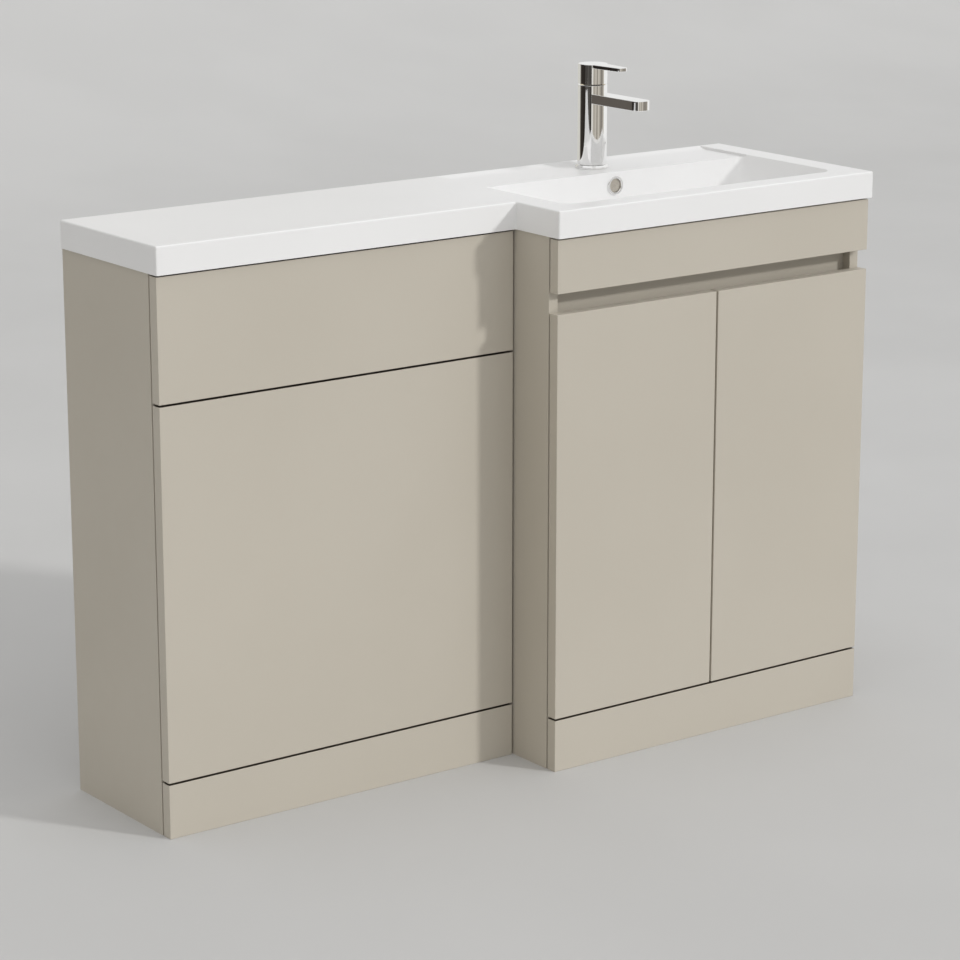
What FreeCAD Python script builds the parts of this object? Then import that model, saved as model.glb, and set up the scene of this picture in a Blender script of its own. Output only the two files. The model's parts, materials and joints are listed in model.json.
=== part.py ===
import FreeCAD, Part
import math
import os

from FreeCAD import Vector

# A slim back-to-wall cabinet on the left and a deeper two-door cupboard on the right,
# under one cast top with a bowl and a single-lever tap.
# X runs along the wall from the joint of the two cabinets, Y points to the wall and
# Z is up from the floor. Lengths are millimetres and angles are degrees.

# Cabinets
wc_width = 600.0
vanity_width = 600.0
cabinet_height = 800.0
wc_depth = 253.0
vanity_depth = 354.0
board = 16.0
back_rail_height = 100.0

# Fronts: doors, panels, fascia and plinths stand a shadow gap in front of the carcass edges
front_board = 18.0
front_gap = 2.5
front_edge_radius = 0.8
reveal = 3.0
top_reveal = 3.0
wc_front_side_gap = 3.0
plinth_height = 79.0
wc_joint_height = 620.0
fascia_height = 78.0
finger_gap = 30.0
door_meeting_gap = 3.5

# Finger rail behind the gap over the doors
finger_setback = 16.0
finger_rail_height = 80.0
finger_rail_cover = 6.0

# Rails behind the left panels
wc_rail_height = 80.0
wc_top_rail_height = 60.0
middle_rail_rise_share = 1 / 3

# Corner blocks that carry the fascia and the plinths
block_width = 30.0
block_depth = 30.0
fascia_block_height = 40.0
plinth_block_height = 34.0
plinth_block_foot = 3.0

# Shelf and its pins
shelf_height = 380.0
shelf_side_room = 1.0
shelf_front_setback = 30.0
shelf_back_setback = 80.0
shelf_pin_radius = 2.5
shelf_pin_in_side = 8.0
shelf_pin_out = 9.0
shelf_pin_inset = 45.0

# Dowels in the rail ends
dowel_radius = 4.0
dowel_in_side = 10.0
dowel_in_rail = 20.0
dowel_room = 0.1
dowel_place_shares = (0.2, 0.8)

# Connectors between the two cabinets
connector_head_radius = 7.0
connector_head_height = 2.5
sleeve_radius = 4.0
sleeve_bore_radius = 3.0
sleeve_length = 27.0
connector_screw_length = 24.0
connector_inset = 60.0
connector_height_shares = (0.25, 0.75)

# Holes in the back rails for wall screws
wall_hole_radius = 3.5
wall_hole_inset = 80.0

# Push-fit studs of the upper left panel
stud_radius = 5.0
stud_length = 12.0
stud_tip = 1.5
stud_root_radius = 4.0
stud_root_length = 8.0
stud_inset = 70.0
stud_edge_distance = 19.0
socket_radius = 7.0
socket_length = 14.0

# Fits
running_fit = 0.05
seat_fit = 0.05
plug_fit = 0.1
lift_room = 0.3

# Cup hinges
hinge_end_distance = 100.0
hinge_pivot_inset = 6.5
hinge_pivot_depth = 10.0
hinge_pin_radius = 1.0
hinge_pin_length = 15.6
hinge_knuckle_radius = 1.85
hinge_arm_width = 10.0
hinge_arm_thick = 2.0
hinge_arm_reach = 60.0
hinge_slot_room = 0.4
cup_radius = 17.5
cup_depth = 13.0
cup_edge_distance = 3.0
cup_slot_wall = 0.55
cup_flange_thick = 1.2
cup_wing_width = 12.0
cup_wing_length = 54.0
plate_thick = 2.5
plate_setback = 37.0
plate_length = 44.0
plate_width = 20.0
plate_wing_width = 12.0
plate_wing_length = 46.0
arm_screw_offset = 12.0

# Wood screws of the hinges
screw_radius = 1.75
screw_head_radius = 3.5
screw_head_height = 1.1
screw_length = 12.0
cup_screw_place = 22.0
plate_screw_place = 17.0

# Cast top
slab_thick = 40.0
slab_front_overhang = 6.0
slab_side_overhang = 3.0
slab_edge_radius = 2.5
slab_skin = 15.0
slab_skirt = 22.0
slab_front_skirt = 30.0

# Bowl and tap deck in the top
bowl_side_rim = 41.0
bowl_front_rim = 40.0
bowl_wall_distance = 110.0
bowl_depth = 95.0
bowl_end_lean = 78.0
bowl_front_lean = 25.0
bowl_front_corner = 25.0
bowl_back_corner = 8.0
bowl_floor_corner = 45.0
bowl_floor_round = 18.0
bowl_wall = 10.0
bowl_rim_round = 2.0
deck_drop = 4.0
deck_back_rim = 4.5
deck_tap_room = 0.5

# Overflow
overflow_drop = 25.0
overflow_hole_radius = 11.0
overflow_ring_radius = 14.5
overflow_ring_thick = 2.5
overflow_sleeve_wall = 1.5
overflow_sleeve_length = 8.0
overflow_cover_gap = 1.0
overflow_cover_thick = 1.5
overflow_cover_recess = 1.2
overflow_bar = 2.0
channel_width = 40.0
channel_depth = 18.0
channel_wall = 2.5

# Waste
waste_hole_radius = 22.5
waste_boss_radius = 35.0
waste_boss_depth = 15.0
waste_rebate_radius = 34.0
waste_rebate_depth = 4.0
waste_port_radius = 5.0
waste_washer_thick = 1.5
waste_flange_radius = 31.5
waste_flange_thick = 3.5
waste_tail_radius = 20.955
waste_tail_length = 90.0
waste_groove_width = 2.0
waste_groove_depth = 0.6
waste_bore_radius = 17.0
waste_slot_width = 14.0
waste_slot_height = 8.0
waste_lower_washer_thick = 3.0
waste_lower_washer_radius = 33.0
waste_nut_height = 8.0
waste_nut_radius = 32.0
waste_spider_thick = 3.0
waste_spider_height = 12.0
waste_spider_drop = 45.0
waste_hub_radius = 6.0
plug_radius = 28.5
plug_thick = 4.0
plug_edge_round = 1.5
plug_stem_radius = 3.0
plug_stem_length = 62.0

# Tap body and spout
tap_hole_radius = 17.5
tap_wall_distance = 53.0
tap_radius = 22.5
tap_body_height = 122.5
tap_gasket_thick = 1.0
tap_gasket_radius = 25.5
tap_ring_radius = 26.0
tap_ring_rim = 1.5
tap_ring_height = 4.5
tap_ring_bore = 18.0
tap_edge_round = 0.6
spout_width = 30.0
spout_thick = 15.0
spout_reach = 127.0
spout_drop = 12.5
spout_tip_round = 13.0
spout_edge_round = 1.0
spout_passage_radius = 4.0
aerator_place = 110.0
aerator_radius = 10.0
aerator_length = 10.0
aerator_lip_radius = 11.0
aerator_lip_thick = 1.2
aerator_cup_radius = 8.0
aerator_cup_depth = 2.0

# Cartridge and the turning carrier on it
cavity_depth = 39.0
cartridge_radius = 17.5
cartridge_lower_radius = 14.5
cartridge_lower_length = 26.0
cartridge_flange_length = 5.0
cartridge_bore_radius = 10.0
cartridge_bore_depth = 12.0
cartridge_nut_radius = 19.5
cartridge_nut_bore = 14.0
cartridge_nut_height = 7.5
carrier_radius = 13.0
carrier_foot_gap = 1.0
carrier_height = 18.0
carrier_slot_depth = 9.5

# Handle, its stem and the pivot pin behind the tap's axis
handle_groove = 2.0
handle_height = 30.0
handle_hollow_radius = 18.5
handle_top_thick = 8.0
handle_boss_width = 16.0
handle_boss_length = 18.0
handle_boss_drop = 10.0
handle_edge_round = 0.6
lift_angle = 20.0
heel_extra_angle = 2.0
heel_start = 14.0
pivot_back = 9.0
pivot_height = 5.0
pivot_pin_radius = 1.5
pivot_pin_length = 18.0
stem_width = 8.0
stem_length = 10.0
stem_eye_radius = 3.5
lever_reach = 76.0
lever_root_width = 30.0
lever_tip_width = 17.0
lever_tip_round = 6.5
lever_thick = 5.5
grub_radius = 2.0
grub_access_radius = 2.3
grub_length = 6.0

# Tap inlets and fixings under the deck
inlet_radius = 5.0
inlet_depth = 12.0
inlet_passage_radius = 4.0
inlet_side = 7.5
inlet_forward = 4.0
stud_bolt_radius = 4.0
stud_bolt_back = 9.0
stud_bolt_in_body = 10.0
stud_bolt_length = 76.0
clamp_radius = 25.0
clamp_slot_width = 27.0
clamp_slot_past_axis = 1.0
clamp_seal_thick = 2.0
clamp_thick = 2.0
stud_nut_radius = 7.5
stud_nut_height = 6.5

# Planes that several pieces share
wall_y = (vanity_depth + slab_front_overhang) / 2
vanity_face_y = wall_y - vanity_depth
vanity_front_back_y = vanity_face_y + front_board
vanity_edge_y = vanity_front_back_y + front_gap
wc_face_y = wall_y - wc_depth
wc_front_back_y = wc_face_y + front_board
wc_edge_y = wc_front_back_y + front_gap
front_bottom = plinth_height + reveal
front_top = cabinet_height - top_reveal
fascia_bottom = front_top - fascia_height
door_top = fascia_bottom - finger_gap
slab_bottom = cabinet_height
slab_top = slab_bottom + slab_thick
slab_under = slab_top - slab_skin
deck_top = slab_top - deck_drop
bowl_back_y = wall_y - bowl_wall_distance
bowl_front_y = vanity_face_y - slab_front_overhang + bowl_front_rim
bowl_floor = slab_top - bowl_depth
tap_x = vanity_width / 2
tap_y = wall_y - tap_wall_distance
waste_x = vanity_width / 2
waste_y = (bowl_back_y + bowl_front_y + bowl_front_lean) / 2

ALONG_X = Vector(1, 0, 0)
ALONG_Y = Vector(0, 1, 0)
UP = Vector(0, 0, 1)
DOWN = Vector(0, 0, -1)

pieces = {}


def box(x0, x1, y0, y1, z0, z1):
    """Block between two opposite corners."""
    return Part.makeBox(x1 - x0, y1 - y0, z1 - z0, Vector(x0, y0, z0))


def rod(radius, length, start, axis):
    """Cylinder that runs from a start point along an axis."""
    return Part.makeCylinder(radius, length, start, axis)


def ring(radius, bore, length, start, axis):
    """Cylinder with a hole right through it."""
    return rod(radius, length, start, axis).cut(rod(bore, length, start, axis))


def front(x0, x1, face_y, z0, z1):
    """Lacquered front with all its edges eased."""
    panel = box(x0, x1, face_y, face_y + front_board, z0, z1)
    return panel.makeFillet(front_edge_radius, panel.Edges)


def hexagon(radius, height, start):
    """Six-sided nut blank that stands on its start point."""
    side_count = 6
    angles = [math.tau * step / side_count for step in range(side_count + 1)]
    corners = [start + Vector(radius * math.cos(angle), radius * math.sin(angle), 0) for angle in angles]
    return Part.Face(Part.makePolygon(corners)).extrude(UP * height)


def mirrored(shape):
    """The same piece on the other side of the cupboard's middle."""
    return shape.mirror(Vector(vanity_width / 2, 0, 0), ALONG_X)


def group(solids):
    """Several loose solids of one kind in one node."""
    return Part.makeCompound(solids)


# Carcass boards of the two cabinets
wc_inner_left = -wc_width + board
wc_inner_right = -board
vanity_inner_left = board
vanity_inner_right = vanity_width - board
back_rail_bottom = cabinet_height - back_rail_height
finger_rail_top = fascia_bottom + finger_rail_cover
finger_rail_y = vanity_edge_y + finger_setback
wc_rail_back_y = wc_front_back_y + board
wc_plinth_joint = plinth_height + reveal / 2
wc_top_rail_bottom = cabinet_height - wc_top_rail_height
middle_rail_rise = middle_rail_rise_share * (wc_top_rail_bottom - wc_joint_height)

sides = {
    "wc_left_side": box(-wc_width, wc_inner_left, wc_edge_y, wall_y, 0, cabinet_height),
    "wc_right_side": box(wc_inner_right, 0, wc_edge_y, wall_y, 0, cabinet_height),
    "vanity_left_side": box(0, vanity_inner_left, vanity_edge_y, wall_y, 0, cabinet_height),
    "vanity_right_side": box(vanity_inner_right, vanity_width, vanity_edge_y, wall_y, 0,
                             cabinet_height),
}

# Depth and height limits of each rail, which runs between the sides of its cabinet
wc_rails = {
    "wc_top_back_rail": (wall_y - board, wall_y, back_rail_bottom, cabinet_height),
    "wc_top_front_rail": (wc_front_back_y, wc_rail_back_y, wc_top_rail_bottom, cabinet_height),
    "wc_middle_rail": (wc_front_back_y, wc_rail_back_y, wc_joint_height - wc_rail_height / 2,
                       wc_joint_height + middle_rail_rise),
    "wc_bottom_rail": (wc_front_back_y, wc_rail_back_y, wc_plinth_joint - wc_rail_height / 2,
                       wc_plinth_joint + wc_rail_height / 2),
}
vanity_rails = {
    "vanity_top_back_rail": (wall_y - board, wall_y, back_rail_bottom, cabinet_height),
    "vanity_bottom_back_rail": (wall_y - board, wall_y, plinth_height,
                                plinth_height + back_rail_height),
    "vanity_base": (vanity_front_back_y, wall_y, plinth_height - board, plinth_height),
    "finger_rail": (finger_rail_y, finger_rail_y + board, finger_rail_top - finger_rail_height,
                    finger_rail_top),
}


def dowel(face_x, inward, y, z, room):
    """Dowel across the inner face of a side, grown by a room when it is a hole."""
    start = Vector(face_x - inward * (dowel_in_side + room), y, z)
    length = dowel_in_side + dowel_in_rail + room + room
    return rod(dowel_radius + room, length, start, ALONG_X * inward)


def dowel_places(y0, y1, z0, z1):
    """Centres of the dowels along the longer side of a rail's end."""
    if z1 - z0 > y1 - y0:
        return [((y0 + y1) / 2, z0 + share * (z1 - z0)) for share in dowel_place_shares]
    return [(y0 + share * (y1 - y0), (z0 + z1) / 2) for share in dowel_place_shares]


dowels = []
for rails, left_side, right_side, left_x, right_x in (
        (wc_rails, "wc_left_side", "wc_right_side", wc_inner_left, wc_inner_right),
        (vanity_rails, "vanity_left_side", "vanity_right_side", vanity_inner_left,
         vanity_inner_right)):
    for name, limits in rails.items():
        pieces[name] = box(left_x, right_x, *limits)
        for y, z in dowel_places(*limits):
            for side, face_x, inward in ((left_side, left_x, 1), (right_side, right_x, -1)):
                dowels.append(dowel(face_x, inward, y, z, 0))
                hole = dowel(face_x, inward, y, z, dowel_room)
                sides[side] = sides[side].cut(hole)
                pieces[name] = pieces[name].cut(hole)
pieces["carcass_dowels"] = group(dowels)

# Wall screws pass through the top back rails
for name, left_x, right_x in (("wc_top_back_rail", wc_inner_left, wc_inner_right),
                              ("vanity_top_back_rail", vanity_inner_left, vanity_inner_right)):
    for x in (left_x + wall_hole_inset, right_x - wall_hole_inset):
        start = Vector(x, wall_y - board, back_rail_bottom + back_rail_height / 2)
        pieces[name] = pieces[name].cut(rod(wall_hole_radius, board, start, ALONG_Y))

# Sleeves and screws that clamp the two middle sides together
connector_sleeves = []
connector_screws = []
connector_ys = (wc_rail_back_y + connector_inset, wall_y - board - connector_inset)
for y in connector_ys:
    for share in connector_height_shares:
        z = share * cabinet_height
        sleeve_face = Vector(wc_inner_right, y, z)
        screw_face = Vector(vanity_inner_left, y, z)
        sleeve = rod(sleeve_radius, sleeve_length, sleeve_face, ALONG_X)
        sleeve = sleeve.fuse(rod(connector_head_radius, connector_head_height, sleeve_face, -ALONG_X))
        sleeve = sleeve.cut(rod(sleeve_bore_radius, sleeve_length, sleeve_face, ALONG_X))
        screw = rod(sleeve_bore_radius - seat_fit, connector_screw_length, screw_face, -ALONG_X)
        screw = screw.fuse(rod(connector_head_radius, connector_head_height, screw_face, ALONG_X))
        connector_sleeves.append(sleeve)
        connector_screws.append(screw)
        hole = rod(sleeve_radius + seat_fit, board + board, sleeve_face, ALONG_X)
        for side in ("wc_right_side", "vanity_left_side"):
            sides[side] = sides[side].cut(hole)
pieces["connector_sleeves"] = group(connector_sleeves)
pieces["connector_screws"] = group(connector_screws)

# Shelf on four pins
shelf_y0 = vanity_edge_y + shelf_front_setback
shelf_y1 = wall_y - shelf_back_setback
pieces["vanity_shelf"] = box(vanity_inner_left + shelf_side_room, vanity_inner_right - shelf_side_room,
                             shelf_y0, shelf_y1, shelf_height, shelf_height + board)
shelf_pins = []
for y in (shelf_y0 + shelf_pin_inset, shelf_y1 - shelf_pin_inset):
    for side, face_x, inward in (("vanity_left_side", vanity_inner_left, 1),
                                 ("vanity_right_side", vanity_inner_right, -1)):
        centre = Vector(face_x - inward * shelf_pin_in_side, y, shelf_height - shelf_pin_radius)
        shelf_pins.append(rod(shelf_pin_radius, shelf_pin_in_side + shelf_pin_out, centre,
                              ALONG_X * inward))
        hole = rod(shelf_pin_radius + seat_fit, shelf_pin_in_side, centre, ALONG_X * inward)
        sides[side] = sides[side].cut(hole)
pieces["shelf_pins"] = group(shelf_pins)

# Corner blocks behind the fascia and the plinths
fascia_middle = (fascia_bottom + front_top) / 2
fascia_block = box(vanity_inner_left, vanity_inner_left + block_width, vanity_front_back_y,
                   vanity_front_back_y + block_depth, fascia_middle - fascia_block_height / 2,
                   fascia_middle + fascia_block_height / 2)
pieces["fascia_blocks"] = group([fascia_block, mirrored(fascia_block)])
plinth_blocks = []
for left_x, right_x, back_y in ((wc_inner_left, wc_inner_right, wc_front_back_y),
                                (vanity_inner_left, vanity_inner_right, vanity_front_back_y)):
    for x in (left_x, right_x - block_width):
        plinth_blocks.append(box(x, x + block_width, back_y, back_y + block_depth, plinth_block_foot,
                                 plinth_block_foot + plinth_block_height))
pieces["plinth_blocks"] = group(plinth_blocks)

# Fixed fronts
wc_front_right = -wc_front_side_gap
pieces["wc_plinth"] = front(-wc_width, wc_front_right, wc_face_y, 0, plinth_height)
pieces["wc_lower_panel"] = front(-wc_width, wc_front_right, wc_face_y, front_bottom,
                                 wc_joint_height - reveal / 2)
pieces["vanity_plinth"] = front(0, vanity_width, vanity_face_y, 0, plinth_height)
pieces["vanity_fascia"] = front(0, vanity_width, vanity_face_y, fascia_bottom, front_top)

# Upper left panel, which pulls off four studs that sit in sockets in the rails
upper_panel_bottom = wc_joint_height + reveal / 2
upper_panel = front(-wc_width, wc_front_right, wc_face_y, upper_panel_bottom, front_top)
panel_studs = []
panel_sockets = []
for z in (upper_panel_bottom + stud_edge_distance, front_top - stud_edge_distance):
    for x in (wc_inner_left + stud_inset, wc_inner_right - stud_inset):
        seat = Vector(x, wc_front_back_y, z)
        tip = rod(stud_radius, stud_length, seat, ALONG_Y)
        tip = tip.makeChamfer(stud_tip, [max(tip.Edges, key=lambda edge: edge.CenterOfMass.y)])
        panel_studs.append(tip.fuse(rod(stud_root_radius, stud_root_length, seat, -ALONG_Y)))
        panel_sockets.append(ring(socket_radius, stud_radius + plug_fit, socket_length, seat, ALONG_Y))
        upper_panel = upper_panel.cut(rod(stud_root_radius + seat_fit, stud_root_length, seat, -ALONG_Y))
        for rail in ("wc_middle_rail", "wc_top_front_rail"):
            hole = rod(socket_radius + seat_fit, socket_length, seat, ALONG_Y)
            pieces[rail] = pieces[rail].cut(hole)
pieces["wc_upper_panel"] = upper_panel
pieces["panel_studs"] = group(panel_studs)
pieces["panel_sockets"] = group(panel_sockets)


def wood_screw(face, axis, room):
    """Countersunk screw driven in from a face, grown by a room when it is a hole."""
    head = Part.makeCone(screw_head_radius + room, screw_radius + room, screw_head_height, face, axis)
    return head.fuse(rod(screw_radius + room, screw_length + room, face, axis))


# Left door with its hinges; the pivot lies inside the cup, near the door's outer edge
door_right = vanity_width / 2 - door_meeting_gap / 2
left_door = front(0, door_right, vanity_face_y, front_bottom, door_top)
pivot_x = hinge_pivot_inset
pivot_y = vanity_front_back_y - hinge_pivot_depth
cup_x = cup_edge_distance + cup_radius
slot_half = hinge_arm_width / 2 + hinge_slot_room
cup_side_at_slot = cup_x - math.sqrt(cup_radius ** 2 - slot_half ** 2)
slot_left = cup_side_at_slot + cup_slot_wall
slot_bottom_y = pivot_y - hinge_knuckle_radius - hinge_slot_room
arm_x = vanity_inner_left + plate_thick
plate_y = vanity_edge_y + plate_setback
arm_end_y = vanity_edge_y + hinge_arm_reach
hinge_cups = []
hinge_pins = []
cup_screws = []
hinge_arms = []
hinge_plates = []
hinge_screws = []
for z in (front_bottom + hinge_end_distance, door_top - hinge_end_distance):
    cup_mouth = Vector(cup_x, vanity_front_back_y, z)
    left_door = left_door.cut(rod(cup_radius + seat_fit, cup_depth + seat_fit, cup_mouth, -ALONG_Y))
    cup = rod(cup_radius, cup_depth, cup_mouth, -ALONG_Y)
    cup = cup.fuse(rod(cup_radius, cup_flange_thick, cup_mouth, ALONG_Y))
    cup = cup.fuse(box(cup_x - cup_wing_width / 2, cup_x + cup_wing_width / 2, vanity_front_back_y,
                       vanity_front_back_y + cup_flange_thick, z - cup_wing_length / 2,
                       z + cup_wing_length / 2))
    slot_right = cup_x + cup_x - slot_left
    cup = cup.cut(box(slot_left, slot_right, slot_bottom_y, vanity_front_back_y + cup_flange_thick,
                      z - slot_half, z + slot_half))
    pin_start = Vector(pivot_x, pivot_y, z - hinge_pin_length / 2)
    cup = cup.cut(rod(hinge_pin_radius + seat_fit, hinge_pin_length, pin_start, UP))
    for offset in (-cup_screw_place, cup_screw_place):
        screw_face = Vector(cup_x, vanity_front_back_y + cup_flange_thick, z + offset)
        cup_screws.append(wood_screw(screw_face, -ALONG_Y, 0))
        hole = wood_screw(screw_face, -ALONG_Y, seat_fit)
        cup = cup.cut(hole)
        left_door = left_door.cut(hole)
    hinge_cups.append(cup)
    hinge_pins.append(rod(hinge_pin_radius, hinge_pin_length, pin_start, UP))

    arm_bottom = z - hinge_arm_width / 2
    arm_top = z + hinge_arm_width / 2
    knuckle = rod(hinge_knuckle_radius, hinge_arm_width, Vector(pivot_x, pivot_y, arm_bottom), UP)
    foot = box(pivot_x, arm_x + hinge_arm_thick, pivot_y - hinge_knuckle_radius, pivot_y, arm_bottom,
               arm_top)
    leg = box(arm_x, arm_x + hinge_arm_thick, pivot_y - hinge_knuckle_radius, arm_end_y, arm_bottom,
              arm_top)
    arm = knuckle.fuse(foot).fuse(leg).removeSplitter()
    arm = arm.cut(rod(hinge_pin_radius + running_fit, hinge_pin_length, pin_start, UP))
    plate = box(vanity_inner_left, arm_x, plate_y - plate_length / 2, plate_y + plate_length / 2,
                z - plate_width / 2, z + plate_width / 2)
    plate = plate.fuse(box(vanity_inner_left, arm_x, plate_y - plate_wing_width / 2,
                           plate_y + plate_wing_width / 2, z - plate_wing_length / 2,
                           z + plate_wing_length / 2)).removeSplitter()
    screw_faces = [Vector(arm_x, plate_y, z + offset) for offset in (-plate_screw_place, plate_screw_place)]
    screw_faces.append(Vector(arm_x + hinge_arm_thick, plate_y + arm_screw_offset, z))
    for screw_face in screw_faces:
        hinge_screws.append(wood_screw(screw_face, -ALONG_X, 0))
        hole = wood_screw(screw_face, -ALONG_X, seat_fit)
        arm = arm.cut(hole)
        plate = plate.cut(hole)
        sides["vanity_left_side"] = sides["vanity_left_side"].cut(hole)
        sides["vanity_right_side"] = sides["vanity_right_side"].cut(mirrored(hole))
    hinge_arms.append(arm)
    hinge_plates.append(plate)

pieces["left_door"] = left_door
pieces["right_door"] = mirrored(left_door)
for name, solids in (("hinge_cups", hinge_cups), ("hinge_pins", hinge_pins), ("cup_screws", cup_screws)):
    pieces["left_" + name] = group(solids)
    pieces["right_" + name] = group([mirrored(solid) for solid in solids])
for name, solids in (("hinge_arms", hinge_arms), ("hinge_plates", hinge_plates),
                     ("hinge_screws", hinge_screws)):
    pieces[name] = group(solids + [mirrored(solid) for solid in solids])
pieces.update(sides)


def rounded_outline(x0, x1, y0, y1, z, front_radius, back_radius):
    """Level rectangle with arcs at its corners, front corners first."""
    diagonal_share = 1 - math.sqrt(0.5)
    corners = ((x0, y0, 1, 1, front_radius), (x1, y0, -1, 1, front_radius),
               (x1, y1, -1, -1, back_radius), (x0, y1, 1, -1, back_radius))
    arcs = []
    for index, (x, y, to_x, to_y, radius) in enumerate(corners):
        along_y = Vector(x, y + to_y * radius, z)
        along_x = Vector(x + to_x * radius, y, z)
        middle = Vector(x + to_x * radius * diagonal_share, y + to_y * radius * diagonal_share, z)
        ends = (along_y, along_x) if index % 2 == 0 else (along_x, along_y)
        arcs.append((ends[0], middle, ends[1]))
    edges = []
    for index, (start, middle, end) in enumerate(arcs):
        edges.append(Part.Arc(start, middle, end).toShape())
        next_start = arcs[(index + 1) % len(arcs)][0]
        edges.append(Part.LineSegment(end, next_start).toShape())
    return Part.Wire(edges)


def bowl_form(wall):
    """Solid that fills the bowl, or the bowl with its wall, from the rim to the floor."""
    rim = rounded_outline(bowl_side_rim - wall, vanity_width - bowl_side_rim + wall,
                          bowl_front_y - wall, bowl_back_y + wall, slab_top,
                          bowl_front_corner + wall, bowl_back_corner + wall)
    floor = rounded_outline(bowl_side_rim + bowl_end_lean - wall,
                            vanity_width - bowl_side_rim - bowl_end_lean + wall,
                            bowl_front_y + bowl_front_lean - wall, bowl_back_y + wall,
                            bowl_floor - wall, bowl_floor_corner + wall, bowl_floor_corner + wall)
    form = Part.makeLoft([rim, floor], True, True)
    half_depth = (slab_top + bowl_floor) / 2
    floor_edges = [edge for edge in form.Edges if edge.BoundBox.ZMax < half_depth]
    return form.makeFillet(bowl_floor_round + wall, floor_edges)


# Cast top: an L-shaped slab with turned-down edges, the bowl, the tap deck and the waste boss
slab_left = -wc_width - slab_side_overhang
slab_right = vanity_width + slab_side_overhang
slab_step_x = -slab_side_overhang
wc_slab_front = wc_face_y - slab_front_overhang
vanity_slab_front = vanity_face_y - slab_front_overhang
slab_outline = [Vector(x, y, slab_bottom) for x, y in (
    (slab_left, wall_y), (slab_left, wc_slab_front), (slab_step_x, wc_slab_front),
    (slab_step_x, vanity_slab_front), (slab_right, vanity_slab_front), (slab_right, wall_y),
    (slab_left, wall_y))]
slab = Part.Face(Part.makePolygon(slab_outline)).extrude(UP * slab_thick)
slab = slab.makeFillet(slab_edge_radius, [edge for edge in slab.Edges if edge.BoundBox.ZMax > slab_under])
middle_rib = slab_skirt - slab_side_overhang
for x0, x1, y0 in ((slab_left + slab_skirt, -middle_rib, wc_slab_front + slab_front_skirt),
                   (middle_rib, slab_right - slab_skirt, vanity_slab_front + slab_front_skirt)):
    slab = slab.cut(box(x0, x1, y0, wall_y - slab_skirt, slab_bottom, slab_under))
bowl_outside = bowl_form(bowl_wall)
boss_bottom = bowl_floor - bowl_wall - waste_boss_depth
waste_boss = rod(waste_boss_radius, bowl_floor - boss_bottom, Vector(waste_x, waste_y, boss_bottom), UP)
basin_top = slab.fuse(bowl_outside).fuse(waste_boss)
basin_top = basin_top.cut(bowl_form(0))

# Tap deck: flat from the bowl to behind the tap, then swept up to the slab's top in an arc
deck_front_y = bowl_back_y - bowl_back_corner
deck_end_y = wall_y - deck_back_rim
sweep_start_y = tap_y + tap_ring_radius + deck_tap_room
sweep_length = deck_end_y - sweep_start_y
sweep_radius = (sweep_length ** 2 + deck_drop ** 2) / (2 * deck_drop)
sweep_half_angle = math.asin(sweep_length / sweep_radius) / 2
deck_front = Vector(bowl_side_rim, deck_front_y, deck_top)
sweep_start = Vector(bowl_side_rim, sweep_start_y, deck_top)
sweep_middle = sweep_start + Vector(0, sweep_radius * math.sin(sweep_half_angle),
                                    sweep_radius * (1 - math.cos(sweep_half_angle)))
sweep_end = Vector(bowl_side_rim, deck_end_y, slab_top)
deck_lip = Vector(bowl_side_rim, deck_front_y, slab_top)
deck_section = Part.Wire([Part.makeLine(deck_front, sweep_start),
                          Part.Arc(sweep_start, sweep_middle, sweep_end).toShape(),
                          Part.makeLine(sweep_end, deck_lip), Part.makeLine(deck_lip, deck_front)])
deck_pocket = Part.Face(deck_section).extrude(ALONG_X * (vanity_width - bowl_side_rim - bowl_side_rim))
basin_top = basin_top.cut(deck_pocket).removeSplitter()


def on_bowl_rim(edge):
    """Whether an edge lies in the slab's top round the front and the ends of the bowl."""
    reach = edge.BoundBox
    return (reach.ZMin > deck_top and reach.YMax < bowl_back_y and reach.YMin > vanity_face_y
            and reach.XMin > bowl_side_rim / 2 and reach.XMax < vanity_width - bowl_side_rim / 2)


basin_top = basin_top.makeFillet(bowl_rim_round, [edge for edge in basin_top.Edges if on_bowl_rim(edge)])
basin_top = basin_top.cut(rod(tap_hole_radius, slab_thick, Vector(tap_x, tap_y, slab_bottom), UP))
basin_top = basin_top.cut(rod(waste_hole_radius, bowl_depth, Vector(waste_x, waste_y, boss_bottom), UP))
rebate_floor = bowl_floor - waste_rebate_depth
basin_top = basin_top.cut(rod(waste_rebate_radius, bowl_wall, Vector(waste_x, waste_y, rebate_floor), UP))
overflow_z = slab_top - overflow_drop
overflow_centre = Vector(waste_x, bowl_back_y, overflow_z)
basin_top = basin_top.cut(rod(overflow_hole_radius, bowl_wall, overflow_centre, ALONG_Y))
port_z = boss_bottom + waste_boss_depth / 2
basin_top = basin_top.cut(rod(waste_port_radius, waste_boss_radius, Vector(waste_x, waste_y, port_z),
                              ALONG_Y))
pieces["basin_top"] = basin_top

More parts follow.
